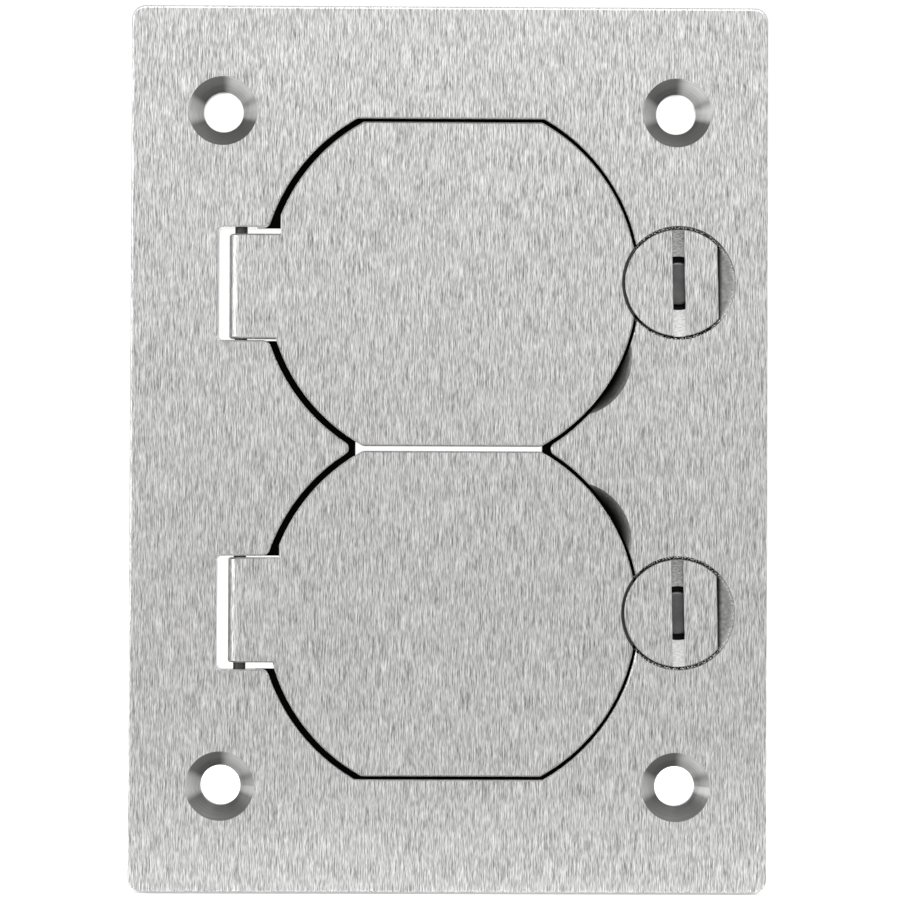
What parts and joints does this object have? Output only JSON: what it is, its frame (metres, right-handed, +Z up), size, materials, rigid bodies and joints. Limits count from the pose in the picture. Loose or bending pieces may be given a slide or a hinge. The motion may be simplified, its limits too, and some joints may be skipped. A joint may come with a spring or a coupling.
{
  "type": "wall plate cover",
  "caption": "Flush cover plate for a duplex receptacle, with a hinged flap lid over each outlet, each held shut by a coin-slot turn latch, and countersunk corner screw holes.",
  "frame": {"origin": "centre of the plate's back face, which is the centre of its four corner screw holes", "axes": "+X to the right across the plate as seen from the front, -Y straight out of the front face, +Z up the plate's long side"},
  "size_m": [0.0754, 0.0087, 0.1048],
  "materials": {
    "plate_metal": "satin, brushed up and down",
    "lid_metal": "satin, brushed up and down",
    "disc_metal": "satin, brushed up and down",
    "pin_steel": "drawn",
    "stud_steel": "turned",
    "washer_steel": "stamped",
    "spring_steel": "oiled spring steel",
    "gasket_rubber": "matte sheet",
    "lid_gasket_rubber": "matte closed-cell foam"
  },
  "bodies": {
    "plate": {"cover_plate": "plate_metal", "mounting_gasket": "gasket_rubber", "upper_hinge_pin": "pin_steel", "lower_hinge_pin": "pin_steel"},
    "upper_lid_body": {"upper_lid": "lid_metal", "upper_lid_gasket": "lid_gasket_rubber"},
    "upper_latch_body": {"upper_latch_disc": "disc_metal", "upper_latch_stud": "stud_steel", "upper_latch_wave_washer": "spring_steel", "upper_latch_flat_washer": "washer_steel", "upper_latch_retaining_ring": "spring_steel"},
    "lower_lid_body": {"lower_lid": "lid_metal", "lower_lid_gasket": "lid_gasket_rubber"},
    "lower_latch_body": {"lower_latch_disc": "disc_metal", "lower_latch_stud": "stud_steel", "lower_latch_wave_washer": "spring_steel", "lower_latch_flat_washer": "washer_steel", "lower_latch_retaining_ring": "spring_steel"}
  },
  "joints": [
    {"name": "upper_lid_hinge", "type": "hinge", "parent": "plate", "child": "upper_lid_body", "pos_m": [-0.0247, -0.0018, 0.0195], "axis": [0, 0, -1], "range_deg": [0, 125]},
    {"name": "upper_latch_turn", "type": "hinge", "parent": "plate", "child": "upper_latch_body", "pos_m": [0.02715, -0.0016, 0.01975], "axis": [0, -1, 0], "range_deg": [0, 180]},
    {"name": "lower_lid_hinge", "type": "hinge", "parent": "plate", "child": "lower_lid_body", "pos_m": [-0.0247, -0.0018, -0.0195], "axis": [0, 0, -1], "range_deg": [0, 125]},
    {"name": "lower_latch_turn", "type": "hinge", "parent": "plate", "child": "lower_latch_body", "pos_m": [0.02715, -0.0016, -0.01935], "axis": [0, -1, 0], "range_deg": [0, 180]}
  ]
}
